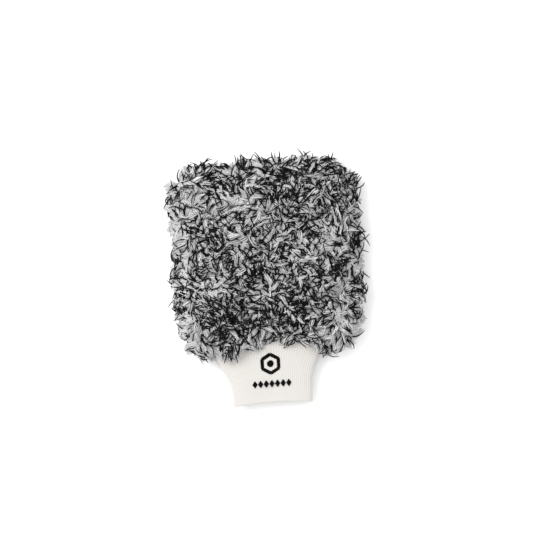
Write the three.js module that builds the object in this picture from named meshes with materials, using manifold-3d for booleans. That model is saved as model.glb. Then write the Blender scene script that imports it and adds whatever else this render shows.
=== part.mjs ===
// A car wash mitt without a thumb: a lined bag of long-pile plush with a ribbed knit cuff at the wrist.
// Millimetres, +Z up. The mitt lies flat on its back panel, fingers toward +Y, cuff toward -Y.
// The origin is on the resting surface, under the middle of the whole mitt.

import * as THREE from "three";
import { mergeVertices } from "three/addons/utils/BufferGeometryUtils.js";
import Module from "manifold-3d";

const wasm = await Module();
wasm.setup();

// Driving dimensions of the plush bag, seen from above.
const mittLength = 256; // fingertip pile to cuff hem
const bagLength = 210; // fingertip pile to the lower corners
const bagWidth = 201.4; // halfway along; it widens toward the fingers and narrows toward the wrist
const bagTaper = 0.04; // share of the width gained from the middle to the fingertips
const cornerPower = 6; // higher is squarer
const wristArch = 17; // rise of the lower edge over the cuff
const wristArchWidth = 42; // how fast the arch dies away to each side

// Driving dimensions of the bag's thickness.
const bagThickness = 40;
const seamHeight = 15; // the plane where the two panels meet
const pocketHalfGap = 5.4;
const liningThickness = 1;
const clearance = 0.4; // between layers that lie on each other
const rimLip = 2.4; // thickness of a panel at its very edge

// Where things stand between the bag's middle (0) and its outer edge (1).
const liningEdge = 0.815;
const liningSeamAt = 0.838;
const shellSeamAt = 0.872;
const seamRecess = [0.82, 0.895];
const underside = 0.86; // the flat part of the underside ends here
const pocketStops = [0.4, 0.6, 0.74]; // where the layers' curved profiles bend
const rimStops = [0.86, 0.92, 0.97, 1];
const bagSegments = 52;

// Driving dimensions of the cuff.
// The outline's pairs are a share of the cuff's length, from the hem (0) to the top (1),
// and its half width there.
const cuffOutline = [
  [0, 41],
  [0.35, 42],
  [0.55, 45.5],
  [0.75, 51.5],
  [1, 57],
];
const cuffShift = -3.7; // the cuff lies a little to one side of the bag's middle
const cuffHalfThickness = 6.5;
const cuffPower = 4; // squareness of the flattened tube
const cuffSegments = 44;
const cuffTopY = -60;
const cuffHemRise = 3; // the hem's middle stands back from its corners
const cuffHemHeight = 11; // height of the cuff's middle plane at the hem
const knitThickness = 1;
const knitGap = 1; // between the folded cuff's two layers
const foldRadius = 0.5; // of the hem's rounded edge
const passageEnd = 20; // how far the way in stays open past the cuff's top, before the pocket widens

// Stitching.
const seamSpans = 40;
const wristOpening = 0.55; // half the angle that the bag's seams leave out at the wrist, in radians
const shellSeamSize = { width: 3.6, height: 2.2 };
const liningSeamSize = { width: 2, height: 1.4 };
const joinSeamSize = { thickness: 2.2, length: 3 };
const sideSeamSize = { width: 3, thickness: 0.4 };

// Embroidery on the cuff's upper face: a hexagonal frame with a dot, over a row of diamonds.
const motifThickness = 0.9;
const motifLift = 0.35; // gap between the cuff and the embroidery on it
const frameY = -85;
const frameRadius = 11.5;
const frameStroke = 2.6;
const dotRadius = 3.4;
const rowY = -106;
const diamondCount = 7;
const diamondPitch = 5.9;
const diamondSize = { width: 4.8, height: 7 };
const backingSize = { width: 46, length: 42, thickness: 0.4 };
const backingY = -90;

// Lengths that follow from the driving dimensions.
const bagHalfLength = bagLength / 2;
const bagCentreY = mittLength / 2 - bagHalfLength;
const cuffHemY = -mittLength / 2;
const cuffLength = cuffTopY - cuffHemY;
const cuffWall = 2 * knitThickness + knitGap;
const betweenLayers = cuffWall / 2; // depth of the middle of the space between the two layers
const cuffSlope = (seamHeight - cuffHemHeight) / cuffLength;

const materials = {
  pile: { color: 0xb4b3b5, roughness: 0.95, metalness: 0 },
  lining: { color: 0xc9c9cb, roughness: 0.85, metalness: 0 },
  knit: { color: 0xece8e3, roughness: 0.9, metalness: 0 },
  seamThread: { color: 0xd9d7d4, roughness: 0.75, metalness: 0 },
  blackThread: { color: 0x0c0c0d, roughness: 0.5, metalness: 0 },
  backing: { color: 0xf4f4f2, roughness: 0.9, metalness: 0 },
};

const mitt = new THREE.Group();

function add(name, geometry, material, parent = mitt) {
  const mesh = new THREE.Mesh(geometry, new THREE.MeshStandardMaterial(materials[material]));
  mesh.name = name;
  parent.add(mesh);
  return mesh;
}

// Moves each vertex of a geometry to place(x, y, z), which returns the new [x, y, z].
function reshape(geometry, place) {
  const position = geometry.getAttribute("position");
  for (let i = 0; i < position.count; i++) {
    position.setXYZ(i, ...place(position.getX(i), position.getY(i), position.getZ(i)));
  }
  geometry.computeVertexNormals();
  return geometry;
}

// A closed geometry as a manifold-3d solid, and back.
function toSolid(geometry) {
  const bare = geometry.clone();
  bare.deleteAttribute("normal");
  bare.deleteAttribute("uv");
  const merged = mergeVertices(bare, 1e-3);
  return new wasm.Manifold(
    new wasm.Mesh({
      numProp: 3,
      vertProperties: merged.getAttribute("position").array,
      triVerts: new Uint32Array(merged.index.array),
    }),
  );
}

function fromSolid(solid) {
  const mesh = solid.getMesh();
  const geometry = new THREE.BufferGeometry();
  geometry.setAttribute("position", new THREE.BufferAttribute(mesh.vertProperties, 3));
  geometry.setIndex(new THREE.BufferAttribute(mesh.triVerts, 1));
  geometry.computeVertexNormals();
  return geometry;
}

// ---- The bag ----

// Where a point of the unit circle lands in the bag's plan: a soft-cornered square with a notch
// for the wrist.
function bagPoint(x, y) {
  const share = Math.hypot(x, y);
  if (share === 0) return [0, bagCentreY];
  const across = Math.abs(x / share);
  const along = Math.abs(y / share);
  const reach = (across ** cornerPower + along ** cornerPower) ** (-1 / cornerPower);
  const u = x * reach;
  const v = y * reach;
  const planX = (u * bagWidth * (1 + bagTaper * v)) / 2;
  const arch = v < 0 ? wristArch * v ** 4 * Math.exp(-((planX / wristArchWidth) ** 2)) : 0;
  return [planX, bagCentreY + v * bagHalfLength + arch];
}

// A layer of the bag: a closed profile of [share, height] pairs turned round the bag's middle.
// Heights are measured from the plane where the panels meet.
function bagLayer(profile) {
  const points = profile.map(([share, height]) => new THREE.Vector2(share, height));
  const turned = new THREE.LatheGeometry(points, bagSegments);
  return reshape(turned, (x, y, z) => [...bagPoint(x, -z), seamHeight + y]);
}

// Half the pocket's height at a share of the way to the bag's edge.
function pocketGap(share) {
  return clearance / 2 + pocketHalfGap * (1 - Math.min(share / liningEdge, 1) ** 6);
}

// Height of the plush above the seam plane.
function frontPile(share) {
  const rise = bagThickness - seamHeight - rimLip;
  return rimLip + rise * Math.sqrt(1 - share ** 4);
}

// Depth of the plush below the seam plane: flat underneath, rounded at the rim.
function backPile(share) {
  const past = Math.max(0, (share - underside) / (1 - underside));
  return rimLip + (seamHeight - rimLip) * Math.sqrt(1 - past ** 2);
}

// A plush panel, from the middle of its inner face round the rim to the middle of its outer face.
function plushPanel(pileHeight, side) {
  const innerHeight = (share) => pocketGap(share) + liningThickness + clearance;
  const recess = shellSeamSize.height / 2 + clearance;
  const inner = pocketStops.map((share) => [share, innerHeight(share)]);
  const outer = [...pocketStops, ...rimStops].map((share) => [share, pileHeight(share)]);
  const profile = [
    [0, innerHeight(0)],
    ...inner,
    [seamRecess[0], liningThickness + 2 * clearance],
    [seamRecess[0] + 0.02, recess],
    [seamRecess[1], recess],
    [seamRecess[1] + 0.01, clearance / 2],
    [1, clearance / 2],
    ...outer.reverse(),
    [0, pileHeight(0)],
  ];
  const sided = profile.map(([share, height]) => [share, side * height]);
  return bagLayer(side > 0 ? sided : sided.reverse());
}

// A lining sheet that follows one side of the pocket.
function liningSheet(side) {
  const shares = [0, ...pocketStops, liningEdge];
  const pocketFace = shares.map((share) => [share, pocketGap(share)]);
  const shellFace = shares.map((share) => [share, pocketGap(share) + liningThickness]);
  const profile = [...pocketFace, ...shellFace.reverse()].map(([share, height]) => [share, side * height]);
  return bagLayer(side > 0 ? profile : profile.reverse());
}

// ---- The cuff ----

// Half the cuff's outer width at a share of its length. It runs straight from each stated width
// to the next.
function cuffReach(along) {
  const share = THREE.MathUtils.clamp(along, 0, 1);
  const next = Math.max(1, cuffOutline.findIndex(([stop]) => share <= stop));
  const [from, narrow] = cuffOutline[next - 1];
  const [to, wide] = cuffOutline[next];
  return THREE.MathUtils.mapLinear(share, from, to, narrow, wide);
}

function cuffMiddleHeight(y) {
  return seamHeight - cuffSlope * (cuffTopY - y);
}

// The flattened tube's section: how far one half-axis reaches where the other stands at a share
// of its own.
function flattened(share) {
  return (1 - Math.abs(share) ** cuffPower) ** (1 / cuffPower);
}

// A point of the cuff: an angle round it, a distance along it from the hem, and a depth under
// its outer face.
function cuffPoint(angle, distance, depth) {
  const along = distance / cuffLength;
  const across = Math.sin(angle);
  const up = Math.cos(angle);
  const reach = (Math.abs(across) ** cuffPower + Math.abs(up) ** cuffPower) ** (-1 / cuffPower);
  const rise = cuffHemRise * (1 - (across * reach) ** 2) * Math.max(0, 1 - along);
  const x = cuffShift + across * reach * (cuffReach(along) - depth);
  const y = cuffHemY + distance + rise;
  return [x, y, cuffMiddleHeight(y) + up * reach * (cuffHalfThickness - depth)];
}

// A ring or a plug that follows the cuff, from a profile of [depth, distance] pairs, turned at a
// radius wider than any depth and then flattened. A depth of null is the axis.
function cuffLayer(profile) {
  const turningRadius = 100;
  const points = profile.map(([depth, distance]) => {
    return new THREE.Vector2(depth === null ? 0 : turningRadius - depth, distance);
  });
  return reshape(new THREE.LatheGeometry(points, cuffSegments), (x, y, z) => {
    const radius = Math.hypot(x, z);
    if (radius < 1e-6) return [cuffShift, cuffHemY + y, cuffMiddleHeight(cuffHemY + y)];
    return cuffPoint(Math.atan2(x, z), y, turningRadius - radius);
  });
}

// One strip of rib knit, folded at the hem, so both raw edges are at the top.
function foldedKnit() {
  const rings = cuffOutline.slice(1).map(([along]) => along * cuffLength);
  const up = (depth) => rings.map((distance) => [depth, distance]);
  const down = (depth) => up(depth).reverse();
  const lining = knitThickness + knitGap;
  return cuffLayer([
    [foldRadius, 0],
    [0, foldRadius],
    ...up(0),
    ...down(knitThickness),
    [knitThickness, knitThickness],
    [lining, knitThickness],
    ...up(lining),
    ...down(cuffWall),
    [cuffWall, foldRadius],
    [cuffWall - foldRadius, 0],
    [foldRadius, 0],
  ]);
}

// The solid space that the cuff fills and leads into, used to open the panels and linings for it.
function passage(grow) {
  const sides = cuffOutline.map(([along]) => [-grow, along * cuffLength]);
  const end = cuffLength + passageEnd;
  return toSolid(cuffLayer([[null, 0], ...sides, [-grow, end], [null, end]]));
}

// ---- Stitching ----

// A flat band along a path in a level plane. The extrusion stands the section's x upright and
// lays its y across.
function band(path, size, steps) {
  const section = new THREE.Shape();
  section.moveTo(-size.height / 2, -size.width / 2);
  section.lineTo(size.height / 2, -size.width / 2);
  section.lineTo(size.height / 2, size.width / 2);
  section.lineTo(-size.height / 2, size.width / 2);
  return new THREE.ExtrudeGeometry(section, { extrudePath: path, steps });
}

// A seam round the fingers and both sides of the bag. Its ends are trimmed where they meet the cuff.
function bagSeam(share, size) {
  const from = -Math.PI / 2 + wristOpening;
  const sweep = 2 * Math.PI - 2 * wristOpening;
  const points = [];
  for (let i = 0; i <= seamSpans; i++) {
    const angle = from + (sweep * i) / seamSpans;
    const [x, y] = bagPoint(share * Math.cos(angle), share * Math.sin(angle));
    points.push(new THREE.Vector3(x, y, seamHeight));
  }
  return band(new THREE.CatmullRomCurve3(points), size, seamSpans);
}

// The overlock that joins the cuff's raw top edge to the bag: a ring in line with the cuff's wall.
function cuffJoinSeam() {
  const outer = (cuffWall - joinSeamSize.thickness) / 2;
  const inner = outer + joinSeamSize.thickness;
  const start = cuffLength + clearance;
  const end = start + joinSeamSize.length;
  return cuffLayer([
    [outer, start],
    [outer, end],
    [inner, end],
    [inner, start],
    [outer, start],
  ]);
}

// The stitching that closes the cuff's strip into a tube, between its layers at one side. It bends
// where they do.
function cuffSideSeam() {
  const stops = cuffOutline.map(([along]) => along * cuffLength);
  stops[0] = 2 * knitThickness;
  const spans = stops.length - 1;
  const strip = new THREE.BoxGeometry(sideSeamSize.thickness, spans, sideSeamSize.width, 1, spans, 2);
  return reshape(strip, (x, y, z) => {
    const fromHem = stops[Math.round(y + spans / 2)];
    const reach = cuffReach(fromHem / cuffLength) - betweenLayers;
    const side = cuffShift + reach * flattened(z / (cuffHalfThickness - betweenLayers));
    return [side + x, cuffHemY + fromHem, cuffMiddleHeight(cuffHemY + fromHem) + z];
  });
}

// The stabiliser sheet between the cuff's layers, under the embroidery.
function embroideryBacking() {
  const { width, length, thickness } = backingSize;
  const sheet = new THREE.BoxGeometry(width, length, thickness, 8, 2, 1);
  return reshape(sheet, (x, y, z) => {
    const reach = cuffReach((backingY + y - cuffHemY) / cuffLength) - betweenLayers;
    const height = (cuffHalfThickness - betweenLayers) * flattened(x / reach);
    return [cuffShift + x, backingY + y, cuffMiddleHeight(backingY + y) + height + z];
  });
}

// ---- Embroidery ----

function polygon(corners, radius, PathType = THREE.Shape) {
  const path = new PathType();
  for (let i = 0; i < corners; i++) {
    const angle = Math.PI / 2 + (2 * Math.PI * i) / corners;
    const point = [radius * Math.cos(angle), radius * Math.sin(angle)];
    if (i === 0) path.moveTo(...point);
    else path.lineTo(...point);
  }
  path.closePath();
  return path;
}

function diamond({ width, height }) {
  const shape = new THREE.Shape();
  shape.moveTo(width / 2, 0);
  shape.lineTo(0, height / 2);
  shape.lineTo(-width / 2, 0);
  shape.lineTo(0, -height / 2);
  shape.closePath();
  return shape;
}

function stitched(shape) {
  return new THREE.ExtrudeGeometry(shape, { depth: motifThickness, bevelEnabled: false });
}

// A group that lies on the cuff's upper face at a distance along the mitt.
function onCuff(y) {
  const group = new THREE.Group();
  group.position.set(cuffShift, y, cuffMiddleHeight(y) + cuffHalfThickness + motifLift);
  group.rotation.x = Math.atan(cuffSlope);
  mitt.add(group);
  return group;
}

// ---- Assembly ----

const cuffSpace = passage(clearance);

function openedForCuff(geometry) {
  return fromSolid(toSolid(geometry).subtract(cuffSpace));
}

add("front_plush_panel", openedForCuff(plushPanel(frontPile, 1)), "pile");
add("back_plush_panel", openedForCuff(plushPanel(backPile, -1)), "pile");
add("front_lining", openedForCuff(liningSheet(1)), "lining");
add("back_lining", openedForCuff(liningSheet(-1)), "lining");
add("shell_seam", openedForCuff(bagSeam(shellSeamAt, shellSeamSize)), "seamThread");
add("lining_seam", openedForCuff(bagSeam(liningSeamAt, liningSeamSize)), "seamThread");
add("rib_cuff", foldedKnit(), "knit");
add("cuff_join_seam", cuffJoinSeam(), "seamThread");
add("cuff_side_seam", cuffSideSeam(), "seamThread");
add("embroidery_backing", embroideryBacking(), "backing");

const framePlace = onCuff(frameY);
const hexagonFrame = polygon(6, frameRadius);
hexagonFrame.holes.push(polygon(6, frameRadius - frameStroke, THREE.Path));
add("motif_frame", stitched(hexagonFrame), "blackThread", framePlace);
add("motif_dot", stitched(polygon(16, dotRadius)), "blackThread", framePlace);

const rowPlace = onCuff(rowY);
for (let i = 0; i < diamondCount; i++) {
  const mesh = add(`motif_diamond_${i + 1}`, stitched(diamond(diamondSize)), "blackThread", rowPlace);
  mesh.position.x = (i - (diamondCount - 1) / 2) * diamondPitch;
}

export default mitt;
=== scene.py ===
from math import cos, pi, radians, sin

import bpy
import numpy as np
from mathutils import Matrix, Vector


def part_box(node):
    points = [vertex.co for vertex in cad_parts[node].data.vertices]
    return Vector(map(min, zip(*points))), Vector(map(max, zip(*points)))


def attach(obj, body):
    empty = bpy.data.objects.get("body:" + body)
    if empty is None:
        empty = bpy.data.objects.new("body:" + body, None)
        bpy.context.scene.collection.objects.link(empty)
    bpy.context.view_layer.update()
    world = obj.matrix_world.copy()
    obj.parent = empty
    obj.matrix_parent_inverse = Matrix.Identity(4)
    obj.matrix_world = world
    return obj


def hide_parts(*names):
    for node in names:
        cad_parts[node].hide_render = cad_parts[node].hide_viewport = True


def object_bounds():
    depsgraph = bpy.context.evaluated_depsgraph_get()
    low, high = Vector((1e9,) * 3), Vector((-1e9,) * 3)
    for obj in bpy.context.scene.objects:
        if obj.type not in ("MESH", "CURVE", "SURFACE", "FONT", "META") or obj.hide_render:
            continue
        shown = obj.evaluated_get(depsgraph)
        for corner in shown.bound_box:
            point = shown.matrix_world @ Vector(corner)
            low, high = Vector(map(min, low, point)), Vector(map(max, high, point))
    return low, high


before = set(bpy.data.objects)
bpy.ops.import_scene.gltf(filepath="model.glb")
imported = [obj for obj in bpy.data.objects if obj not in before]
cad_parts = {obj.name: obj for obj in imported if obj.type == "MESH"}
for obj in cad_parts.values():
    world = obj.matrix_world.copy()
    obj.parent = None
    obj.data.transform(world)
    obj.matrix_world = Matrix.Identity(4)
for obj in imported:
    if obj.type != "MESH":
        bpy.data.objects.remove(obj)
cad_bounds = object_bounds()
MM = 0.001
TINY = 1e-9  # keeps a division by a length away from zero

# The mitt lies on its back on z = 0, fingers toward +Y and cuff toward -Y, as the CAD does.
panel_low, panel_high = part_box("front_plush_panel")

# ---- Driving dimensions of the bag ----
TAPER = 0.04  # share of the width gained from the middle to the fingertips
LOWER_NARROWING = 0.055  # share of the width lost at the corners beside the cuff
CORNER_POWER = 6  # of the soft square: higher makes its corners sharper
PLAN_SHARE = 0.983  # of the CAD panel's half width, to leave room for the taper
ARCH = 17 * MM  # rise of the lower edge over the cuff
ARCH_WIDTH = 42 * MM
BAG_LENGTH = 210 * MM
BAG_HALF_WIDTH = (panel_high.x - panel_low.x) / 2 * PLAN_SHARE
BAG_CENTRE_Y = panel_high.y - BAG_LENGTH / 2
SEAM_HEIGHT = 15 * MM
POCKET_HALF_GAP = 5.4 * MM
POCKET_POWER = 6  # higher keeps the pocket open closer to its seam
PASSAGE_HALF_HEIGHT = 5 * MM  # of the way in from the cuff
PASSAGE_START = 4 * MM
PASSAGE_LENGTH = 24 * MM
LINING_EDGE = 0.815  # share of the way from the middle of the bag to its rim
LINING_THICKNESS = 1 * MM
CLEARANCE = 0.4 * MM
CREASE_HEIGHT = 0.5 * MM
CREASE_SIZE = 22 * MM

# The knitted ground that the pile grows from lies inside the pile's outer surface.
GROUND_SHARE = 0.93
GROUND_ARCH = 9 * MM  # the ground's own rise over the cuff, beyond the pile's
GROUND_TOP = panel_high.z - 12 * MM
GROUND_UNDERSIDE = 5 * MM
GROUND_LIP = 2.2 * MM
GROUND_CELLS = 50
RIM_FINENESS = 0.4  # how much finer the grid is at its rim, from 0 to 1
FRONT_ROUNDING = 4  # powers: higher keeps a panel level closer to its seam
BACK_ROUNDING = 14
LUMP_HEIGHT = 1.6 * MM
LUMP_SIZE = 34 * MM
CUFF_MARGIN = 1.2 * MM  # between the ground and the cuff
CLOTH_PRESSURE = 4
CLOTH_MASS = 0.2
CLOTH_FRAMES = 20
MOST_MOVEMENT = 4 * MM

# ---- Driving dimensions of the cuff ----
CUFF_OUTLINE = ((0, 41), (0.35, 42), (0.55, 45.5), (0.75, 51.5), (1, 57))  # share of length, half width
CUFF_SHIFT = -3.7 * MM
CUFF_LEAN = 4 * MM  # how much further the cuff flares out on its left
LEAN_START = 0.25  # shares of the cuff's length
LEAN_STRETCH = 0.4
CUFF_TOP_Y = -60 * MM
CUFF_HEM_Y = cad_bounds[0].y
CUFF_LENGTH = CUFF_TOP_Y - CUFF_HEM_Y
CUFF_HALF_THICKNESS = 6.5 * MM
CUFF_POWER = 4
CUFF_HEM_RISE = 3 * MM
CUFF_HEM_HEIGHT = 11 * MM
CUFF_SLOPE = (SEAM_HEIGHT - CUFF_HEM_HEIGHT) / CUFF_LENGTH
KNIT_THICKNESS = 1 * MM
CUFF_WALL = 3 * MM  # two layers of knit and the gap between them
HEM_ROUNDING = 0.5 * MM
HEM_BEND = 0.3 * HEM_ROUNDING  # where the hem's rounding turns the corner
RIB_COUNT = 86
POINTS_PER_RIB = 5
RIB_DEPTH = 0.32 * MM
RIB_SHARPNESS = 0.8
RIB_BASE = 0.6  # the height in a rib that lies on the cuff's outer face
STITCH_LENGTH = 1.6 * MM
STITCH_DEPTH = 0.12 * MM
COURSE_STEP = 0.4 * MM
INNER_COURSE_STEP = 4 * COURSE_STEP
HIDDEN_RINGS = 18  # on each of the two faces inside the fold
CUFF_RIPPLE = 0.8 * MM
CUFF_RIPPLE_SIZE = 55 * MM

# ---- Driving dimensions of the embroidery and the stitching ----
FRAME_STROKE = 2.9 * MM
FRAME_INSET = 0.58 * FRAME_STROKE  # from the CAD frame's edge to the middle of the stroke
SATIN_SPACING = 0.42 * MM
SATIN_THREAD = 0.27 * MM
SATIN_LIFT = 0.75 * MM
SATIN_BASE = 0.15 * MM  # height of a thread's middle over the knit where it dips in
SATIN_OVERRUN = 0.3 * MM
SATIN_WIDE = 2.4 * MM  # a thread at least so long has its full lift
SATIN_SLANT = 0.15 * MM
BACKING_HALF_THICKNESS = 0.2 * MM
BACKING_RAGGEDNESS = 0.4 * MM
SEAM_OPENING = 0.55  # half the angle that the bag's seams leave out at the wrist
SEAM_THREAD = 0.28 * MM
OVERLOCK_PITCH = 2.4 * MM
POINTS_PER_PITCH = 10
SHELL_SEAM_SHARE, LINING_SEAM_SHARE = 0.872, 0.838  # of the way from the middle of the bag to its rim

# ---- Driving dimensions of the pile ----
PILE_SEED = 7  # the other random fields use this number plus one of their own
FRONT_TUFTS, BACK_TUFTS = 4100, 2500
TUFT_LENGTHS = 11 * MM, 17 * MM
TUFT_RISES = 0.7, 1.15  # angle from the ground at the root, in radians
TUFT_SCATTER = 0.35  # of a tuft's heading about the drift, in radians
RIM_OUTREACH = 0.4
RIM_SHORTENING = 0.42
DRIFTS = (2.6, 45 * MM, 0), (1.6, 17 * MM, 1)  # size in radians, wavelength, number of the field
TUFT_HALF_WIDTH = 2.4 * MM
LEAST_HEIGHT = 1.2 * MM  # of a yarn's centre line over the floor, a little more than its radius
RIM_START = 0.88  # share of the way from the middle of a panel to its seam
RIM_EXTRA = 2  # how much closer the tufts stand at the seam
TUFT_YARNS = (  # place across the tuft from -1 to 1, lift and least and greatest radius in mm
    (-0.9, 0, 1.05, 1.4), (0, 0.2, 1.1, 1.45), (0.9, 0, 1.05, 1.4),
    (-0.75, 0.9, 0.4, 0.6), (0.1, 1.2, 0.4, 0.6), (0.7, 0.9, 0.4, 0.6),
)
BLACK_PLACES = (  # where black yarns stand across a tuft, in half widths, and the blackness they need
    (-1.3, 0), (1.3, 0), (0.2, 0.6),
)
BLACK_LIFT = 1.9 * MM
BLACK_RADII = 0.7 * MM, 0.98 * MM
BLACK_SHARE, RIM_BLACK_LOSS = 0.51, 0.2
BLACK_WAVES = (0.17, 34 * MM, 30), (0.1, 13 * MM, 31)  # size, wavelength, number of the field
STRAY_SHARE = 0.3  # of the black yarns at the rim, the ones that stand out
PRESSED_HEIGHT = 2.5 * MM  # the pile below this height is squeezed over the floor
GREY_CLEARANCE, BLACK_CLEARANCE = 0.7 * MM, 0.9 * MM  # between a yarn's centre line and the cuff
CUFF_INTRUSION = 3 * MM  # how far inside the cuff's outline a root is taken to be in the cuff
EDGE_START, EDGE_WIDTH = 0.8, 0.15  # shares of the bag's half width over which its rim begins
GREY_RINGS, BLACK_RINGS = 6, 8
GREY_MOST, BLACK_MOST = 6200, 4500  # strands in one piece
BLACK_PATCHES = (  # place across and along the bag from -1 to 1, radius in half widths, change in blackness
    (-0.04, -0.02, 0.17, 0.35), (-0.4, -0.62, 0.18, 0.55), (0.24, -0.62, 0.2, 0.6), (0.33, 0.62, 0.24, 0.25),
    (0, -0.24, 0.16, -0.25), (-0.95, 0.6, 0.32, -0.4), (-0.9, -0.1, 0.3, -0.1), (0.9, 0.1, 0.35, -0.2),
    (0.1, -0.87, 0.3, -0.35), (-0.76, -0.81, 0.25, -0.45), (0.73, -0.77, 0.25, -0.4),
)


# ---- Small helpers ----

def unit(vectors):
    """Vectors scaled to length 1, along the last axis."""
    return vectors / np.maximum(np.linalg.norm(vectors, axis=-1, keepdims=True), TINY)


def smooth_step(share):
    """0 to 1 with level ends."""
    return share**2 * (3 - 2 * share)


def waves(points, wavelength, seed):
    """A smooth random field over points, mostly from -1 to 1: a few plane waves added up."""
    draw = np.random.default_rng(seed)
    count = 14
    headings = unit(draw.normal(size=(count, 3)))
    lengths = wavelength * draw.uniform(0.7, 1.5, count)
    phases = draw.uniform(0, 2 * pi, count)
    turns = points @ (headings / lengths[:, None]).T * 2 * pi + phases
    return np.sin(turns).sum(-1) * (2 / count) ** 0.5 / 1.4


def new_piece(name, vertices, faces, material, smooth=True):
    """A mesh piece from lists or arrays of vertices and faces."""
    mesh = bpy.data.meshes.new(name)
    mesh.from_pydata([tuple(v) for v in vertices], [], [tuple(f) for f in faces])
    mesh.polygons.foreach_set("use_smooth", [smooth] * len(mesh.polygons))
    mesh.materials.append(material)
    piece = bpy.data.objects.new(name, mesh)
    bpy.context.collection.objects.link(piece)
    return piece


def add_attribute(mesh, name, values):
    """One number for each vertex, for the materials to read."""
    made = mesh.attributes.new(name, "FLOAT", "POINT")
    made.data.foreach_set("value", np.ascontiguousarray(values, np.float32))


# ---- The bag's plan ----

def bag_point(x, y):
    """Where points of the unit disc land in the bag's plan: a soft square, notched for the wrist."""
    share = np.hypot(x, y)
    safe = np.maximum(share, TINY)
    across = np.abs(x) / safe
    along = np.abs(y) / safe
    reach = (across**CORNER_POWER + along**CORNER_POWER + 1e-12) ** (-1 / CORNER_POWER)
    u = x * reach
    v = y * reach
    plan_x = u * BAG_HALF_WIDTH * (1 + TAPER * v - LOWER_NARROWING * np.maximum(-v, 0) ** 4)
    arch = np.where(v < 0, ARCH * v**4 * np.exp(-((plan_x / ARCH_WIDTH) ** 2)), 0)
    return plan_x, BAG_CENTRE_Y + v * BAG_LENGTH / 2 + arch


def square_grid():
    """A grid of points of the unit disc that runs square to the bag's sides, finer at its rim."""
    even = np.linspace(-1, 1, GROUND_CELLS + 1)
    steps = (1 - RIM_FINENESS) * even + RIM_FINENESS * np.sin(even * pi / 2)
    u, v = np.meshgrid(steps, steps, indexing="ij")
    share = np.maximum(np.abs(u), np.abs(v))
    radius = np.maximum(np.hypot(u, v), TINY)
    return share * u / radius, share * v / radius, share


def pocket_height(share):
    """Height of the plush's inner face above the seam plane."""
    narrowing = 1 - np.minimum(share / LINING_EDGE, 1) ** POCKET_POWER
    return POCKET_HALF_GAP * narrowing + LINING_THICKNESS + 2 * CLEARANCE


# ---- The cuff's shape ----

def cuff_lean(y):
    """Half of what the left side gains, rising smoothly from below the middle of the cuff."""
    share = np.clip(((y - CUFF_HEM_Y) / CUFF_LENGTH - LEAN_START) / LEAN_STRETCH, 0, 1)
    return CUFF_LEAN / 2 * smooth_step(share)


def cuff_half_width(y):
    """The cuff's half width, which flares toward the bag."""
    stops, widths = zip(*CUFF_OUTLINE)
    return np.interp((y - CUFF_HEM_Y) / CUFF_LENGTH, stops, widths) * MM + cuff_lean(y)


def cuff_centre(y):
    """The middle of the cuff across the mitt."""
    return CUFF_SHIFT - cuff_lean(y)


def cuff_middle(y):
    """The height of the cuff's middle, which sinks toward the hem."""
    return SEAM_HEIGHT - CUFF_SLOPE * (CUFF_TOP_Y - y)


def clear_of_cuff(points, margin):
    """Points moved up or down out of the cuff's tube, to lie at least a margin off it."""
    x, y, z = points[..., 0], points[..., 1], points[..., 2]
    across = np.abs(x - cuff_centre(y)) / (cuff_half_width(y) + margin)
    half = (CUFF_HALF_THICKNESS + margin) * np.maximum(1 - across**CUFF_POWER, 0) ** (1 / CUFF_POWER)
    middle = cuff_middle(y)
    inside = (across < 1) & (y < CUFF_TOP_Y) & (np.abs(z - middle) < half)
    moved = points.copy()
    moved[..., 2] = np.where(inside, middle + np.where(z >= middle, half, -half), z)
    return moved


def passage_height(x, y):
    """How far the way in from the cuff holds the layers off the seam plane. It narrows into the bag."""
    across = np.minimum(np.abs(x - cuff_centre(CUFF_TOP_Y)) / cuff_half_width(CUFF_TOP_Y), 1)
    inward = np.clip((y - CUFF_TOP_Y - PASSAGE_START) / PASSAGE_LENGTH, 0, 1)
    return PASSAGE_HALF_HEIGHT * (1 - across**CUFF_POWER) ** (1 / CUFF_POWER) * (1 - inward) ** 2


def cuff_points(angle, distance, depth):
    """Points of the cuff, from the angle round it, the distance from the hem and the depth in its wall."""
    across, up = np.sin(angle), np.cos(angle)
    reach = (np.abs(across) ** CUFF_POWER + np.abs(up) ** CUFF_POWER) ** (-1 / CUFF_POWER)
    rise = CUFF_HEM_RISE * (1 - (across * reach) ** 2) * np.maximum(0, 1 - distance / CUFF_LENGTH)
    y = CUFF_HEM_Y + distance + rise
    straight = CUFF_HEM_Y + distance
    x = cuff_centre(straight) + across * reach * (cuff_half_width(straight) - depth)
    z = cuff_middle(y) + up * reach * (CUFF_HALF_THICKNESS - depth)
    return np.stack([x, y, z], axis=-1)


def cuff_top(x, y):
    """Height of the cuff's upper face."""
    across = np.abs(x - cuff_centre(y)) / cuff_half_width(y)
    return cuff_middle(y) + CUFF_HALF_THICKNESS * (1 - across**CUFF_POWER) ** (1 / CUFF_POWER)


def even_angles(count):
    """Angles round the flattened cuff that stand the same length apart along its surface."""
    dense = np.linspace(0, 2 * pi, 4001)
    outline = cuff_points(dense, 0.5 * CUFF_LENGTH, 0.0)[:, [0, 2]]
    lengths = np.concatenate([[0], np.cumsum(np.linalg.norm(np.diff(outline, axis=0), axis=1))])
    return np.interp(np.arange(count) / count * lengths[-1], lengths, dense)


def ring_faces(rings, around):
    """Quads over a closed tube whose section is a closed ring too."""
    ring = np.arange(rings)[:, None]
    spoke = np.arange(around)[None, :]
    after, beside = (ring + 1) % rings, (spoke + 1) % around
    quads = [ring * around + spoke, ring * around + beside, after * around + beside, after * around + spoke]
    return np.stack([q + 0 * ring + 0 * spoke for q in quads], axis=-1).reshape(-1, 4)


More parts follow.
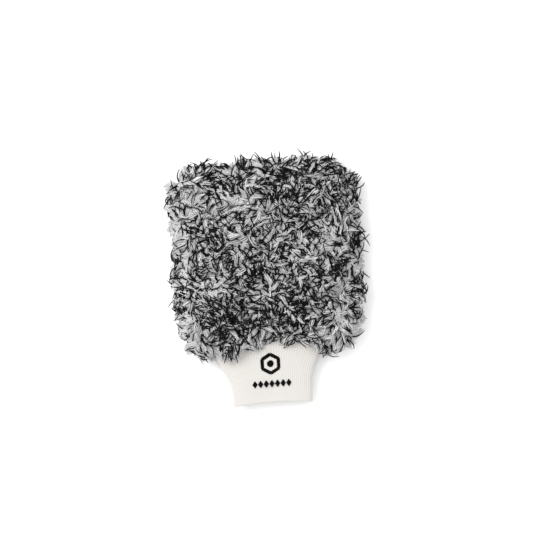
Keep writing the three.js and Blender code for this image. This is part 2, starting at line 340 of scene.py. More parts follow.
def rib_cuff(material):
    """The cuff: one strip of rib knit, folded double at the hem, with real ribs and stitches."""
    around = RIB_COUNT * POINTS_PER_RIB
    inner = CUFF_WALL - KNIT_THICKNESS
    courses = np.arange(HEM_ROUNDING, CUFF_LENGTH, COURSE_STEP)
    plain = np.linspace(KNIT_THICKNESS, CUFF_LENGTH, HIDDEN_RINGS)
    lower = np.arange(CUFF_LENGTH, HEM_ROUNDING, -INNER_COURSE_STEP)
    depth = np.concatenate([
        [HEM_ROUNDING, HEM_BEND], 0 * courses, 0 * plain + KNIT_THICKNESS, 0 * plain + inner,
        0 * lower + CUFF_WALL, [CUFF_WALL - HEM_BEND, CUFF_WALL - HEM_ROUNDING]])
    distance = np.concatenate([[0, HEM_BEND], courses, plain[::-1], plain, lower, [HEM_BEND, 0]])
    phase = np.arange(around) / POINTS_PER_RIB * 2 * pi
    rib = (0.5 + 0.5 * np.cos(phase)) ** RIB_SHARPNESS
    angles = even_angles(around)
    outer_face = np.where(depth < KNIT_THICKNESS / 2, 1.0, 0.0)
    inner_face = np.where(depth > inner + KNIT_THICKNESS / 2, 1.0, 0.0)
    facing = (outer_face - inner_face)[:, None]
    slant = np.abs(((np.arange(around) / POINTS_PER_RIB + 0.5) % 1) - 0.5)
    stitch = np.cos((distance[:, None] / STITCH_LENGTH + slant[None]) * 2 * pi)
    relief = RIB_DEPTH * (rib[None] - RIB_BASE) + STITCH_DEPTH * stitch * rib[None]
    points = cuff_points(angles[None], distance[:, None], depth[:, None] - facing * relief)
    ripple = CUFF_RIPPLE * waves(points, CUFF_RIPPLE_SIZE, PILE_SEED + 50)
    points[..., 2] += ripple * np.clip(1 - distance[:, None] / CUFF_LENGTH, 0, 1)
    faces = ring_faces(len(depth), around)
    piece = new_piece("cuff", points.reshape(-1, 3), faces, material)
    add_attribute(piece.data, "rib", np.broadcast_to(rib[None], points.shape[:2]).ravel())
    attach(piece, "root")
    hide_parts("rib_cuff")


# ---- Embroidery ----

def satin(name, node, starts, ends, material):
    """Satin stitches: threads side by side, each an arch from its start to its end on the cuff's face."""
    step = np.linspace(0, 1, 7)
    beyond = unit(ends - starts) * SATIN_OVERRUN
    starts, ends = starts - beyond, ends + beyond
    flat = starts[:, None] * (1 - step[:, None]) + ends[:, None] * step[:, None]
    width = np.linalg.norm(ends - starts, axis=1)[:, None]
    arch = SATIN_LIFT * np.minimum(1, width / SATIN_WIDE) * np.sin(pi * step) ** 0.4
    ground = cuff_top(flat[..., 0], flat[..., 1]) + SATIN_BASE
    lines = np.concatenate([flat, (ground + arch)[..., None]], axis=-1)
    radii = np.full(lines.shape[:2], SATIN_THREAD)
    tones = np.linspace(0, 1, len(lines)) * 7 % 1
    piece = strand_mesh(name, lines, radii, tones, material, sides=6)
    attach(piece, "root")
    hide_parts(node)


def satin_bar(start, end, width):
    """The threads of a straight bar, laid across it."""
    along = end - start
    length = np.hypot(*along)
    aside = np.array([-along[1], along[0]]) / length * width / 2
    middles = start + along * np.linspace(0, 1, int(length / SATIN_SPACING) + 1)[:, None]
    return middles - aside, middles + aside


def motif_frame(material):
    """A hexagon of six satin bars."""
    low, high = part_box("motif_frame")
    centre = np.array([(low.x + high.x) / 2, (low.y + high.y) / 2])
    radius = (high.y - low.y) / 2 - FRAME_INSET
    turns = pi / 2 + np.arange(7) * pi / 3
    corners = centre + radius * np.stack([np.cos(turns), np.sin(turns)], axis=-1)
    bars = [satin_bar(corners[k], corners[k + 1], FRAME_STROKE) for k in range(6)]
    starts, ends = (np.concatenate(part) for part in zip(*bars))
    satin("satin_frame", "motif_frame", starts, ends, material)


def motif_fill(name, node, half_width, material):
    """A shape filled with threads across it, as wide as half_width says at a share of its half height."""
    low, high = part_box(node)
    centre_x, centre_y = (low.x + high.x) / 2, (low.y + high.y) / 2
    half_x, half_y = (high.x - low.x) / 2, (high.y - low.y) / 2
    rows = int(2 * half_y / SATIN_SPACING)
    share = (np.arange(rows) + 0.5) / rows * 2 - 1
    reach = half_x * half_width(share)
    y = centre_y + share * half_y
    starts = np.stack([centre_x - reach, y], axis=-1)
    ends = np.stack([centre_x + reach, y + SATIN_SLANT], axis=-1)
    satin(name, node, starts, ends, material)


# ---- Stitching ----

def overlock(name, node, path, aside, above, material):
    """Overlock stitching along a path: two threads wound round the seam and two straight along it."""
    steps = np.concatenate([[0], np.cumsum(np.linalg.norm(np.diff(path, axis=0), axis=1))])
    count = int(steps[-1] / OVERLOCK_PITCH * POINTS_PER_PITCH)
    places = np.linspace(0, steps[-1], count)

    def spread(values):
        return np.stack([np.interp(places, steps, values[:, k]) for k in range(3)], axis=-1)

    middle, across, up = spread(path), spread(aside), spread(above)
    turn = (places / OVERLOCK_PITCH * 2 * pi)[:, None]
    lines = [middle + np.cos(turn + start) * across + np.sin(turn + start) * up for start in (0, pi)]
    lines += [middle + side * 0.45 * across + 0.9 * up for side in (-1, 1)]
    lines = np.stack(lines)
    radii = np.full(lines.shape[:2], SEAM_THREAD)
    piece = strand_mesh(name, lines, radii, np.array([0.2, 0.5, 0.7, 0.9]), material, sides=5)
    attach(piece, "root")
    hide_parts(node)


def bag_seam(name, node, share, width, height, material):
    """A seam round the fingers and both sides of the bag."""
    angle = np.linspace(SEAM_OPENING - pi / 2, 1.5 * pi - SEAM_OPENING, 400)
    x, y = bag_point(share * np.cos(angle), share * np.sin(angle))
    path = np.stack([x, y, np.full_like(x, SEAM_HEIGHT)], axis=-1)
    up = np.array([0, 0, 1.0])
    aside = unit(np.cross(np.gradient(path, axis=0), up)) * width / 2
    overlock(name, node, path, aside, np.broadcast_to(up * height / 2, path.shape), material)


def cuff_join_seam(material):
    """The overlock round the cuff's raw top edge."""
    low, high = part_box("cuff_join_seam")
    angle = np.linspace(0, 2 * pi, 300)
    length = high.y - low.y
    distance = low.y + length / 2 - CUFF_HEM_Y
    path = cuff_points(angle, distance, CUFF_WALL / 2)
    outward = unit(cuff_points(angle, distance, 0) - path) * 1.1 * MM
    along = np.broadcast_to(np.array([0, length / 2, 0]), path.shape)
    overlock("join_overlock", "cuff_join_seam", path, outward, along, material)


def cuff_side_seam(material):
    """The stitching that closes the cuff's strip into a tube, between its two layers."""
    low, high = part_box("cuff_side_seam")
    distance = np.linspace(low.y - CUFF_HEM_Y, high.y - CUFF_HEM_Y, 60)
    path = cuff_points(pi / 2, distance, CUFF_WALL / 2)
    upright = np.broadcast_to(np.array([0, 0, 1.5 * MM]), path.shape)
    sideways = np.broadcast_to(np.array([0.2 * MM, 0, 0]), path.shape)
    overlock("side_stitching", "cuff_side_seam", path, upright, sideways, material)


# ---- Linings and backing ----

def layered_sheet(name, upper, lower, material):
    """A closed thin sheet between two grids of points of the same size."""
    across, along = upper.shape[:2]
    offset = across * along
    corner = (np.arange(across - 1)[:, None] * along + np.arange(along - 1)[None]).ravel()
    top = np.stack([corner, corner + along, corner + along + 1, corner + 1], axis=1)
    rim = np.concatenate([
        np.arange(across) * along, (across - 1) * along + np.arange(1, along),
        np.arange(across - 2, -1, -1) * along + along - 1, np.arange(along - 2, 0, -1)])
    following = np.roll(rim, -1)
    wall = np.stack([following, rim, rim + offset, following + offset], axis=1)
    faces = np.concatenate([top, top[:, ::-1] + offset, wall])
    vertices = np.concatenate([upper.reshape(-1, 3), lower.reshape(-1, 3)])
    return new_piece(name, vertices, faces, material)


def lining(name, node, side, material):
    """One side of the thin knitted pocket that the hand lies in, with soft creases."""
    x, y, share = square_grid()
    plan_x, plan_y = bag_point(x * LINING_EDGE, y * LINING_EDGE)
    gap = CLEARANCE / 2 + POCKET_HALF_GAP * (1 - np.minimum(share, 1) ** POCKET_POWER)
    gap = np.maximum(gap, passage_height(plan_x, plan_y))
    flat = np.stack([plan_x, plan_y, 0 * plan_x], axis=-1)
    creases = CREASE_HEIGHT * waves(flat, CREASE_SIZE, PILE_SEED + 60 + side) * (1 - share**8)
    faces = []
    for height in (gap + LINING_THICKNESS, gap):
        faces.append(np.stack([plan_x, plan_y, SEAM_HEIGHT + side * (height + creases)], axis=-1))
    upper, lower = faces if side > 0 else faces[::-1]
    piece = layered_sheet(name, upper, lower, material)
    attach(piece, "root")
    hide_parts(node)


def embroidery_backing(material):
    """The soft stabiliser between the cuff's two layers, under the embroidery."""
    low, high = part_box("embroidery_backing")
    x, y = np.meshgrid(np.linspace(low.x, high.x, 30), np.linspace(low.y, high.y, 28), indexing="ij")
    at_edge = np.abs(x - (low.x + high.x) / 2) > 0.49 * (high.x - low.x)
    ragged = BACKING_RAGGEDNESS * np.sin(y / (3.1 * MM)) * at_edge
    height = cuff_top(x, y) - CUFF_WALL / 2
    height += 0.12 * MM * waves(np.stack([x, y, 0 * x], axis=-1), 9 * MM, PILE_SEED + 70)
    halves = BACKING_HALF_THICKNESS, -BACKING_HALF_THICKNESS
    faces = [np.stack([x + ragged, y, height + half], axis=-1) for half in halves]
    piece = layered_sheet("stabiliser", *faces, material)
    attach(piece, "root")
    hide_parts("embroidery_backing")


# ---- The ground fabric under the pile ----

def ground_faces(cells, flip):
    """Quads over a square grid of points."""
    corner = np.arange(cells)[:, None] * (cells + 1) + np.arange(cells)[None, :]
    corner = corner.ravel()
    quads = np.stack([corner, corner + cells + 1, corner + cells + 2, corner + 1], axis=1)
    return quads[:, ::-1] if flip else quads


def ground_shape(side):
    """The outer and inner faces of one ground panel, as grids. side is 1 in front, -1 at the back."""
    x, y, share = square_grid()
    plan_x, plan_y = bag_point(x * GROUND_SHARE, y * GROUND_SHARE)
    plan_y += GROUND_ARCH * np.maximum(-y, 0) ** 4 * np.exp(-((plan_x / ARCH_WIDTH) ** 2))
    top = GROUND_TOP - SEAM_HEIGHT if side > 0 else SEAM_HEIGHT - GROUND_UNDERSIDE
    rounding = (1 - share ** (FRONT_ROUNDING if side > 0 else BACK_ROUNDING)) ** 0.5
    height = GROUND_LIP + (top - GROUND_LIP) * rounding
    outer = np.stack([plan_x, plan_y, SEAM_HEIGHT + side * height], axis=-1)
    lumps = LUMP_HEIGHT * waves(outer, LUMP_SIZE, PILE_SEED) * (1 - share**6)
    outer[..., 2] += lumps * (1 if side > 0 else 0)
    inner_height = pocket_height(share * GROUND_SHARE) * (1 - 0.4 * share**20)
    inner_height = np.maximum(inner_height, passage_height(plan_x, plan_y) + LINING_THICKNESS + CLEARANCE)
    inner = np.stack([plan_x, plan_y, SEAM_HEIGHT + side * inner_height], axis=-1)
    thin = side * (outer[..., 2] - inner[..., 2]) < KNIT_THICKNESS
    outer[..., 2] = np.where(thin, inner[..., 2] + side * KNIT_THICKNESS, outer[..., 2])
    return clear_of_cuff(outer, 2 * CUFF_MARGIN), clear_of_cuff(inner, CUFF_MARGIN)


def inflate(piece, held):
    """Blows the piece up as cloth with the named vertices held, then caps how far each point moved."""
    before = np.array([v.co for v in piece.data.vertices])
    group = piece.vertex_groups.new(name="held")
    group.add([int(i) for i in held], 1.0, "REPLACE")
    fill = piece.modifiers.new("fill", "CLOTH")
    fill.settings.quality = 4
    fill.settings.mass = CLOTH_MASS
    fill.settings.use_pressure = True
    fill.settings.uniform_pressure_force = CLOTH_PRESSURE
    fill.settings.vertex_group_mass = "held"
    fill.settings.effector_weights.gravity = 0
    for step in range(1, CLOTH_FRAMES + 1):
        bpy.context.scene.frame_set(step)
    settled = piece.evaluated_get(bpy.context.evaluated_depsgraph_get())
    after = np.array([v.co for v in settled.data.vertices])
    piece.modifiers.remove(fill)
    bpy.context.scene.frame_set(1)
    moved = after - before
    length = np.linalg.norm(moved, axis=1, keepdims=True)
    after = before + moved * np.minimum(1, MOST_MOVEMENT / np.maximum(length, TINY))
    piece.data.vertices.foreach_set("co", after.ravel())
    piece.data.update()


def ground_panel(name, side, material):
    """One panel of the knitted ground, and the grid of points on its outer face that the pile grows from."""
    outer, inner = ground_shape(side)
    size = GROUND_CELLS + 1
    border = [(i, 0) for i in range(size)] + [(size - 1, j) for j in range(1, size)]
    border += [(i, size - 1) for i in range(size - 2, -1, -1)] + [(0, j) for j in range(size - 2, 0, -1)]
    rim = np.array([i * size + j for i, j in border])
    following = np.roll(rim, -1)
    offset = size * size
    wall = np.stack([rim, following, following + offset, rim + offset], axis=1)
    faces = [ground_faces(GROUND_CELLS, side < 0), ground_faces(GROUND_CELLS, side > 0) + offset]
    faces.append(wall[:, ::-1] if side > 0 else wall)
    vertices = np.concatenate([outer.reshape(-1, 3), inner.reshape(-1, 3)])
    piece = new_piece(name, vertices, np.concatenate(faces), material)
    inflate(piece, np.concatenate([rim, np.arange(offset, 2 * offset)]))
    settled = np.array([v.co for v in piece.data.vertices])[:offset].reshape(size, size, 3)
    settled = clear_of_cuff(settled, 2 * CUFF_MARGIN)
    smooth = piece.modifiers.new("smooth", "SUBSURF")
    smooth.levels = smooth.render_levels = 1
    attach(piece, "root")
    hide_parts("front_plush_panel" if side > 0 else "back_plush_panel")
    return settled


# ---- The pile ----

def scatter(grid, side, count, draw):
    """Points spread by area over a grid, closer at the rim, and the outward directions there."""
    du, dv = np.gradient(grid, axis=0), np.gradient(grid, axis=1)
    normals = unit(np.cross(du, dv)) * side
    diagonals = grid[1:, 1:] - grid[:-1, :-1], grid[1:, :-1] - grid[:-1, 1:]
    off_middle = np.abs(np.arange(GROUND_CELLS) + 0.5 - GROUND_CELLS / 2) / (GROUND_CELLS / 2)
    rim = np.clip((np.maximum(off_middle[:, None], off_middle[None]) - RIM_START) / (1 - RIM_START), 0, 1)
    areas = (np.linalg.norm(np.cross(*diagonals), axis=-1) * (1 + RIM_EXTRA * rim)).ravel()
    places = (np.arange(count) + draw.random(count)) / count
    cells = np.minimum(np.searchsorted(np.cumsum(areas) / areas.sum(), places), len(areas) - 1)
    i, j = np.divmod(cells, GROUND_CELLS)
    a, b = draw.random((2, count, 1))

    def blend(values):
        near = values[i, j] * (1 - a) + values[i + 1, j] * a
        far = values[i, j + 1] * (1 - a) + values[i + 1, j + 1] * a
        return near * (1 - b) + far * b

    return blend(grid), unit(blend(normals))


def in_cuff(points):
    """True for points that would grow inside the cuff."""
    reach = np.abs(points[:, 0] - cuff_centre(points[:, 1])) < cuff_half_width(points[:, 1]) - CUFF_INTRUSION
    low = points[:, 1] < CUFF_TOP_Y + 1 * MM
    level = np.abs(points[:, 2] - cuff_middle(points[:, 1])) < CUFF_HALF_THICKNESS
    return reach & low & level


def above_floor(points, room):
    """Points below the room height are pressed up toward the floor's plane, so none passes it."""
    low = points[..., 2] < room
    pressed = points.copy()
    pressed[..., 2] = np.where(low, room * np.exp((points[..., 2] - room) / room), points[..., 2])
    pressed[..., 2] += LEAST_HEIGHT * np.exp(-np.maximum(points[..., 2], 0) / room)
    return pressed


def strand_lines(roots, normals, heading, lengths, rise, settle, curl, rings, bend=1.4):
    """The centre lines of strands that rise from their roots, bend over and curl along the surface."""
    aside = np.cross(normals, heading)
    step = np.linspace(0, 1, rings)
    middle = (step[1:] + step[:-1]) / 2
    pitch = rise[:, None] * (1 - middle) ** bend + settle[:, None] * middle
    turn = curl[:, None] * (middle - 0.25)
    flat = np.cos(pitch)[..., None]
    forward = np.cos(turn)[..., None] * heading[:, None] + np.sin(turn)[..., None] * aside[:, None]
    directions = flat * forward + np.sin(pitch)[..., None] * normals[:, None]
    moves = directions * (lengths[:, None] / (rings - 1))[..., None]
    path = np.concatenate([np.zeros_like(moves[:, :1]), np.cumsum(moves, axis=1)], axis=1)
    return roots[:, None] + path


def strand_mesh(name, lines, radii, tones, material, sides=3):
    """One mesh of closed tapered tubes round many centre lines."""
    count, rings, _ = lines.shape
    along = unit(np.gradient(lines, axis=1))
    guide = unit(np.cross(lines[:, -1] - lines[:, 0], np.array([0.3, 0.2, 1.0])))[:, None]
    across = unit(np.cross(along, np.cross(along, guide)))
    lift = np.cross(along, across)
    angles = np.arange(sides) * 2 * pi / sides
    spokes = np.cos(angles)[:, None] * across[:, :, None] + np.sin(angles)[:, None] * lift[:, :, None]
    vertices = (lines[:, :, None] + radii[..., None, None] * spokes).reshape(-1, 3)
    ring = np.arange(rings - 1)[:, None] * sides
    side = np.arange(sides)
    following = (side + 1) % sides
    quads = np.stack([ring + side, ring + following, ring + sides + following, ring + sides + side], -1)
    quads = quads.reshape(-1, 4)
    starts = np.arange(count)[:, None, None] * rings * sides
    quads = (quads[None] + starts).reshape(-1, 4)
    root_caps = (side[::-1][None] + starts[:, 0]).reshape(-1, sides)
    tip_caps = (side[None] + (rings - 1) * sides + starts[:, 0]).reshape(-1, sides)
    caps = np.concatenate([root_caps, tip_caps])
    loops = np.concatenate([quads.ravel(), caps.ravel()])
    begins = np.concatenate([np.arange(len(quads)) * 4, len(quads) * 4 + np.arange(len(caps)) * sides])
    mesh = bpy.data.meshes.new(name)
    mesh.vertices.add(len(vertices))
    mesh.vertices.foreach_set("co", vertices.ravel().astype(np.float32))
    mesh.loops.add(len(loops))
    mesh.loops.foreach_set("vertex_index", loops.astype(np.int32))
    mesh.polygons.add(len(begins))
    mesh.polygons.foreach_set("loop_start", begins.astype(np.int32))
    mesh.polygons.foreach_set("use_smooth", np.ones(len(begins), bool))
    mesh.update(calc_edges=True)
    add_attribute(mesh, "tone", np.repeat(tones, rings * sides))
    add_attribute(mesh, "along", np.tile(np.repeat(np.linspace(0, 1, rings), sides), count))
    mesh.materials.append(material)
    piece = bpy.data.objects.new(name, mesh)
    bpy.context.collection.objects.link(piece)
    return piece


def strand_pieces(name, node, lines, radii, tones, material, most):
    """The strands in bands across the bag, each band a piece with at most so many strands."""
    order = np.argsort(lines[:, 0, 0])
    bands = np.array_split(order, -(-len(order) // most))
    for number, band in enumerate(bands, 1):
        piece = strand_mesh(f"{name}_{number}", lines[band], radii[band], tones[band], material)
        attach(piece, "root")
        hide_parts(node)


def edge_share(points):
    """0 over the flat of the bag, 1 at its rim."""
    across = np.abs(points[:, 0]) / BAG_HALF_WIDTH
    along = np.abs(points[:, 1] - BAG_CENTRE_Y) / (BAG_LENGTH / 2)
    return np.clip((np.maximum(across, along) - EDGE_START) / EDGE_WIDTH, 0, 1)


def lean(points, normals, draw, seed):
    """The way each strand leans: a slow drift over the bag with its own scatter, and outward at the rim."""
    drift = sum(size * waves(points, wavelength, seed + field) for size, wavelength, field in DRIFTS)
    angle = drift + draw.normal(0, TUFT_SCATTER, len(points))
    flow = np.stack([np.cos(angle), np.sin(angle), 0 * angle], axis=-1)
    outward = points - np.array([0, BAG_CENTRE_Y, SEAM_HEIGHT])
    outward[:, 2] = 0
    flow += RIM_OUTREACH * edge_share(points)[:, None] * unit(outward)
    flow[:, 2] -= 0.15
    flow -= (flow * normals).sum(-1, keepdims=True) * normals
    return unit(flow)


def tufts(grid, side, count, draw):
    """The tufts of one panel: where each is rooted, which way it leans, and how it rises, bends and curls."""
    centres, normals = scatter(grid, side, count, draw)
    kept = ~in_cuff(centres)
    centres, normals = centres[kept], normals[kept]
    count = len(centres)
    edge = edge_share(centres)
    return {
        "roots": centres,
        "normals": normals,
        "heading": lean(centres, normals, draw, PILE_SEED + 10),
        "lengths": draw.uniform(*TUFT_LENGTHS, count) * (1 - RIM_SHORTENING * edge),
        "rise": draw.uniform(*TUFT_RISES, count) * (1 - 0.25 * edge),
        "settle": draw.normal(0.0, 0.2, count),
        "curl": draw.normal(0, 0.6, count),
    }


def grey_pile(name, node, shape, material, draw):
    """Pale tufts: each a leaf-shaped bundle of yarns that bulges and comes to one tip."""
    count = len(shape["roots"])
    step = np.linspace(0, 1, GREY_RINGS)
    bulge = 0.35 + 0.75 * np.sin(pi * step**0.8)
    tone = draw.random(count)
    aside = np.cross(shape["normals"], shape["heading"])
    lines, radii, tones = [], [], []
    for place, lift, thinnest, thickest in TUFT_YARNS:
        across = place * TUFT_HALF_WIDTH + draw.normal(0, 0.2 * MM, count)
        upward = lift * MM + draw.normal(0, 0.4 * MM, count) - 0.25 * np.abs(across)
        own = draw.normal(1, 0.1, count)
        middle = strand_lines(**{**shape, "lengths": shape["lengths"] * own}, rings=GREY_RINGS)
        offset = across[:, None] * aside + upward[:, None] * shape["normals"]
        lines.append(middle + bulge[:, None] * offset[:, None])
        radii.append(draw.uniform(thinnest, thickest, count)[:, None] * MM * (1 - 0.75 * step**2))
        tones.append(0.8 * tone + 0.2 * draw.random(count))
    lines, radii, tones = np.concatenate(lines), np.concatenate(radii), np.concatenate(tones)
    lines = above_floor(clear_of_cuff(lines, GREY_CLEARANCE), PRESSED_HEIGHT)
    strand_pieces(name, node, lines, radii, tones, material, GREY_MOST)


def blackness(points):
    """The share of black yarns that grow at each point: fewer at the rim, more in a few dense patches."""
    share = BLACK_SHARE - RIM_BLACK_LOSS * edge_share(points)
    for size, wavelength, field in BLACK_WAVES:
        share += size * waves(points, wavelength, PILE_SEED + field)
    for across, along, radius, change in BLACK_PATCHES:
        aside = points[:, 0] - across * BAG_HALF_WIDTH
        beyond = points[:, 1] - BAG_CENTRE_Y - along * BAG_LENGTH / 2
        share += change * np.exp(-(aside**2 + beyond**2) / (radius * BAG_HALF_WIDTH) ** 2)
    return share


def black_pile(name, node, shape, material, draw):
    """Black yarns that grow beside the tufts and follow their outline."""
    step = np.linspace(0, 1, BLACK_RINGS)
    bulge = 0.5 + 0.6 * np.sin(pi * step**0.8)
    lines, radii, tones = [], [], []
    share = blackness(shape["roots"])
    for beside, least in BLACK_PLACES:
        kept = draw.random(len(share)) < share - least
        own = {key: values[kept] for key, values in shape.items()}
        count = kept.sum()
        edge = edge_share(own["roots"])
        stray = edge * (draw.random(count) < STRAY_SHARE)
        own["lengths"] = own["lengths"] * draw.normal(1.02, 0.12, count) * (1 + 0.15 * edge + 0.65 * stray)
        own["rise"] = own["rise"] + draw.uniform(0, 0.15, count)
        own["settle"] = own["settle"] - 0.12
        own["curl"] = (own["curl"] + draw.normal(0, 0.5, count)) * (1 - 0.5 * stray)
        aside = np.cross(own["normals"], own["heading"])
        across = beside * TUFT_HALF_WIDTH + draw.normal(0, 0.4 * MM, count)
        offset = across[:, None] * aside + BLACK_LIFT * own["normals"]
        lines.append(strand_lines(**own, rings=BLACK_RINGS, bend=1.2) + bulge[:, None] * offset[:, None])
        radii.append(draw.uniform(*BLACK_RADII, count)[:, None] * (1 - 0.6 * step**3))
        tones.append(draw.random(count))
    lines, radii, tones = np.concatenate(lines), np.concatenate(radii), np.concatenate(tones)
    lines = above_floor(clear_of_cuff(lines, BLACK_CLEARANCE), PRESSED_HEIGHT)
    strand_pieces(name, node, lines, radii, tones, material, BLACK_MOST)


# ---- Materials ----

def new_material(name, roughness):
    """A new material with its nodes, its links and its shader."""
    made = bpy.data.materials.new(name)
    made.use_nodes = True
    shader = made.node_tree.nodes["Principled BSDF"]
    shader.inputs["Roughness"].default_value = roughness
    return made, made.node_tree.nodes, made.node_tree.links, shader


def ramp(nodes, links, source, stops):
    """A colour ramp from (position, colour) stops, driven by a socket."""
    made = nodes.new("ShaderNodeValToRGB")
    while len(made.color_ramp.elements) < len(stops):
        made.color_ramp.elements.new(0.5)
    for element, (position, colour) in zip(made.color_ramp.elements, stops):
        element.position = position
        element.color = (*colour, 1)
    links.new(source, made.inputs["Fac"])
    return made.outputs["Color"]


def multiply(nodes, links, first, second):
    """The product of two colours."""
    made = nodes.new("ShaderNodeMix")
    made.data_type = "RGBA"
    made.blend_type = "MULTIPLY"
    made.inputs["Factor"].default_value = 1
    links.new(first, made.inputs["A"])
    links.new(second, made.inputs["B"])
    return made.outputs["Result"]


def attribute(nodes, name):
    """A number that the mesh holds for each vertex."""
    made = nodes.new("ShaderNodeAttribute")
    made.attribute_name = name
    return made.outputs["Fac"]


def noise(nodes, scale, detail=2):
    """Noise through the object's own space, with so many ups and downs in a metre."""
    made = nodes.new("ShaderNodeTexNoise")
    made.inputs["Scale"].default_value = scale
    made.inputs["Detail"].default_value = detail
    place = nodes.new("ShaderNodeTexCoord")
    nodes.id_data.links.new(place.outputs["Object"], made.inputs["Vector"])
    return made.outputs["Fac"]


def bump(nodes, links, shader, height, strength, distance):
    """Fine relief on a shader, from a height."""
    made = nodes.new("ShaderNodeBump")
    made.inputs["Strength"].default_value = strength
    made.inputs["Distance"].default_value = distance
    links.new(height, made.inputs["Height"])
    links.new(made.outputs["Normal"], shader.inputs["Normal"])


def grey_yarn():
    """Split microfibre: each yarn its own grey, with painted shade that darkens it toward the root, and a
    fine fuzz of fibres.
    """
    made, nodes, links, shader = new_material("grey_yarn", 0.9)
    tint = ramp(nodes, links, attribute(nodes, "tone"), (
        (0.0, (0.525, 0.525, 0.53)), (0.5, (0.595, 0.595, 0.6)), (1.0, (0.68, 0.68, 0.685))))
    # painted shade: each yarn is darker toward its root, where the tufts over it shade it
    depth = ramp(nodes, links, attribute(nodes, "along"), (
        (0.0, (0.5, 0.5, 0.5)), (0.25, (0.95, 0.95, 0.95)), (0.4, (1, 1, 1))))
    fibres = ramp(nodes, links, noise(nodes, 1700, 3), ((0.35, (0.86, 0.86, 0.86)), (0.65, (1, 1, 1))))
    shaded = multiply(nodes, links, tint, depth)
    links.new(multiply(nodes, links, shaded, fibres), shader.inputs["Base Color"])
    shader.inputs["Sheen Weight"].default_value = 0.25
    bump(nodes, links, shader, noise(nodes, 2400, 3), 0.4, 0.25 * MM)
    return made


def black_yarn():
    """Twisted black microfibre: almost no light comes back, a little more from some yarns."""
    made, nodes, links, shader = new_material("black_yarn", 0.7)
    shader.inputs["Specular IOR Level"].default_value = 0.1
    tint = ramp(nodes, links, attribute(nodes, "tone"), (
        (0.0, (0.002, 0.002, 0.0022)), (0.7, (0.005, 0.005, 0.0055)), (1.0, (0.012, 0.012, 0.013))))
    links.new(tint, shader.inputs["Base Color"])
    bump(nodes, links, shader, noise(nodes, 1800, 3), 0.5, 0.3 * MM)
    return made


def ground_knit():
    """The knitted ground between the yarns' roots: dark grey, mottled where black yarns are tied in."""
    made, nodes, links, shader = new_material("ground_knit", 0.95)
    tint = ramp(nodes, links, noise(nodes, 240), ((0.3, (0.10, 0.10, 0.102)), (0.7, (0.26, 0.26, 0.265))))
    links.new(tint, shader.inputs["Base Color"])
    bump(nodes, links, shader, noise(nodes, 1100, 4), 0.6, 0.3 * MM)
    return made


def rib_knit():
    """Off-white cotton knit: painted shade makes the grooves between the ribs a little darker, with a fine
    fuzz.
    """
    made, nodes, links, shader = new_material("rib_knit", 0.92)
    # painted shade: the grooves between the ribs are darker than the rib tops
    painted_rib_shade = ramp(nodes, links, attribute(nodes, "rib"), (
        (0.0, (0.5, 0.482, 0.459)), (0.6, (0.545, 0.526, 0.5)), (1.0, (0.558, 0.538, 0.512))))
    fuzz = ramp(nodes, links, noise(nodes, 1400, 4), ((0.3, (0.93, 0.93, 0.93)), (0.7, (1, 1, 1))))
    links.new(multiply(nodes, links, painted_rib_shade, fuzz), shader.inputs["Base Color"])
    shader.inputs["Sheen Weight"].default_value = 0.15
    bump(nodes, links, shader, noise(nodes, 2600, 4), 0.35, 0.2 * MM)
    return made


def black_thread():
    """Polyester embroidery thread: near black, with a low sheen that changes from thread to thread."""
    made, nodes, links, shader = new_material("black_thread", 0.5)
    tint = ramp(nodes, links, attribute(nodes, "tone"), (
        (0.0, (0.001, 0.001, 0.0011)), (1.0, (0.003, 0.003, 0.0033))))
    links.new(tint, shader.inputs["Base Color"])
    shader.inputs["Specular IOR Level"].default_value = 0.05
    bump(nodes, links, shader, noise(nodes, 5200, 3), 0.3, 0.06 * MM)
    return made


def seam_thread():
    """Pale polyester sewing thread with its twist."""
    made, nodes, links, shader = new_material("seam_thread", 0.7)
    tint = ramp(nodes, links, attribute(nodes, "tone"), (
        (0.0, (0.56, 0.55, 0.54)), (1.0, (0.68, 0.67, 0.655))))
    twist = ramp(nodes, links, noise(nodes, 2800, 3), ((0.35, (0.8, 0.8, 0.8)), (0.65, (1, 1, 1))))
    links.new(multiply(nodes, links, tint, twist), shader.inputs["Base Color"])
    bump(nodes, links, shader, noise(nodes, 2800, 3), 0.4, 0.1 * MM)
    return made


def lining_knit():
    """Thin grey tricot: a fine net of wales, with mottled shading."""
    made, nodes, links, shader = new_material("lining_knit", 0.85)
    net = nodes.new("ShaderNodeTexVoronoi")
    net.inputs["Scale"].default_value = 900
    place = nodes.new("ShaderNodeTexCoord")
    links.new(place.outputs["Object"], net.inputs["Vector"])
    holes = ramp(nodes, links, net.outputs["Distance"], ((0.1, (0.3, 0.3, 0.305)), (0.5, (0.5, 0.5, 0.505))))
    mottle = ramp(nodes, links, noise(nodes, 90), ((0.3, (0.85, 0.85, 0.85)), (0.7, (1, 1, 1))))
    links.new(multiply(nodes, links, holes, mottle), shader.inputs["Base Color"])
    bump(nodes, links, shader, net.outputs["Distance"], 0.4, 0.2 * MM)
    return made


def felt():
    """White non-woven stabiliser with a random fibre web."""
    made, nodes, links, shader = new_material("felt", 0.95)
    web = ramp(nodes, links, noise(nodes, 700, 8), ((0.35, (0.6, 0.6, 0.59)), (0.65, (0.8, 0.8, 0.79))))
    links.new(web, shader.inputs["Base Color"])
    bump(nodes, links, shader, noise(nodes, 700, 8), 0.5, 0.15 * MM)
    return made


# ---- The scene round the object ----

HORIZON_LIGHT = 1.0
OVERHEAD_LIGHT = 1.46
KEY_POWER = 46
KEY_SIZE = 1.6
KEY_PLACE = (-1.5, 1.1, 1.8)
VIEW_TURN = radians(-4.2)
PICTURE_WIDTH = 0.5596
CAMERA_HEIGHT = 3.0
CAMERA_ASIDE = (-1.6 * MM, 16.3 * MM)  # along the picture's own axes, from the mitt's origin
SENSOR_WIDTH = 36
FLOOR_HALF_SIZE = 3


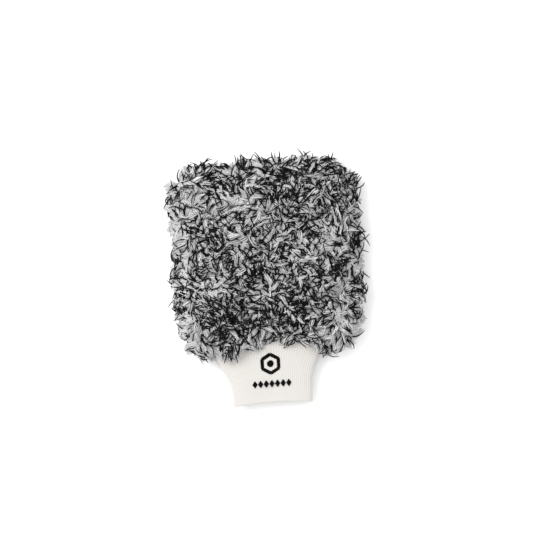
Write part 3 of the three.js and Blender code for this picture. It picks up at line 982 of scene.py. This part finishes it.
def add_camera():
    """A camera that looks straight down from high up."""
    data = bpy.data.cameras.new("camera")
    data.sensor_width = SENSOR_WIDTH
    data.lens = SENSOR_WIDTH * CAMERA_HEIGHT / PICTURE_WIDTH
    data.clip_end = 20
    camera = bpy.data.objects.new("camera", data)
    right = Vector((cos(VIEW_TURN), sin(VIEW_TURN), 0))
    up = Vector((-sin(VIEW_TURN), cos(VIEW_TURN), 0))
    camera.location = right * CAMERA_ASIDE[0] + up * CAMERA_ASIDE[1] + Vector((0, 0, CAMERA_HEIGHT))
    camera.rotation_euler = (0, 0, VIEW_TURN)
    bpy.context.collection.objects.link(camera)
    bpy.context.scene.camera = camera


def add_light():
    """One large soft light from the upper left."""
    data = bpy.data.lights.new("key", "AREA")
    data.energy = KEY_POWER
    data.size = KEY_SIZE
    light = bpy.data.objects.new("key", data)
    light.location = KEY_PLACE
    light.rotation_euler = (-light.location).to_track_quat("-Z", "Y").to_euler()
    bpy.context.collection.objects.link(light)


def add_world():
    """White light all round, stronger from above."""
    world = bpy.data.worlds.new("studio")
    world.use_nodes = True
    nodes, links = world.node_tree.nodes, world.node_tree.links
    background = nodes["Background"]
    background.inputs["Color"].default_value = (1, 1, 1, 1)
    place = nodes.new("ShaderNodeTexCoord")
    split = nodes.new("ShaderNodeSeparateXYZ")
    brightness = nodes.new("ShaderNodeMapRange")
    brightness.interpolation_type = "SMOOTHSTEP"
    brightness.inputs["From Min"].default_value = 0.1
    brightness.inputs["From Max"].default_value = 1
    brightness.inputs["To Min"].default_value = HORIZON_LIGHT
    brightness.inputs["To Max"].default_value = OVERHEAD_LIGHT
    links.new(place.outputs["Generated"], split.inputs["Vector"])
    links.new(split.outputs["Z"], brightness.inputs["Value"])
    links.new(brightness.outputs["Result"], background.inputs["Strength"])
    bpy.context.scene.world = world


def add_floor():
    """A wide sheet of pale paper under the mitt."""
    made, _, _, shader = new_material("floor_paper", 0.9)
    shader.inputs["Base Color"].default_value = (0.9, 0.9, 0.9, 1)
    half = FLOOR_HALF_SIZE
    corners = [(-half, -half, 0), (half, -half, 0), (half, half, 0), (-half, half, 0)]
    floor = new_piece("floor", corners, [(0, 1, 2, 3)], made)


# ---- Build ----

draw = np.random.default_rng(PILE_SEED)
grey, black, ground = grey_yarn(), black_yarn(), ground_knit()
for label, node, side, count in (
    ("front", "front_plush_panel", 1, FRONT_TUFTS),
    ("back", "back_plush_panel", -1, BACK_TUFTS),
):
    surface = ground_panel(f"{label}_ground", side, ground)
    shape = tufts(surface, side, count, draw)
    grey_pile(f"{label}_grey_pile", node, shape, grey, draw)
    black_pile(f"{label}_black_pile", node, shape, black, draw)

rib_cuff(rib_knit())
thread = black_thread()
motif_frame(thread)
motif_fill("satin_dot", "motif_dot", lambda share: (1 - share**2) ** 0.5, thread)
for number in range(1, 8):
    motif_fill(f"satin_diamond_{number}", f"motif_diamond_{number}", lambda share: 1 - abs(share), thread)

pale_thread = seam_thread()
bag_seam("shell_overlock", "shell_seam", SHELL_SEAM_SHARE, 3.6 * MM, 2.2 * MM, pale_thread)
bag_seam("lining_overlock", "lining_seam", LINING_SEAM_SHARE, 2 * MM, 1.4 * MM, pale_thread)
cuff_join_seam(pale_thread)
cuff_side_seam(pale_thread)
tricot = lining_knit()
lining("pocket_front", "front_lining", 1, tricot)
lining("pocket_back", "back_lining", -1, tricot)
embroidery_backing(felt())

add_world()
add_floor()
add_light()
add_camera()
bpy.context.scene.view_settings.view_transform = "Standard"
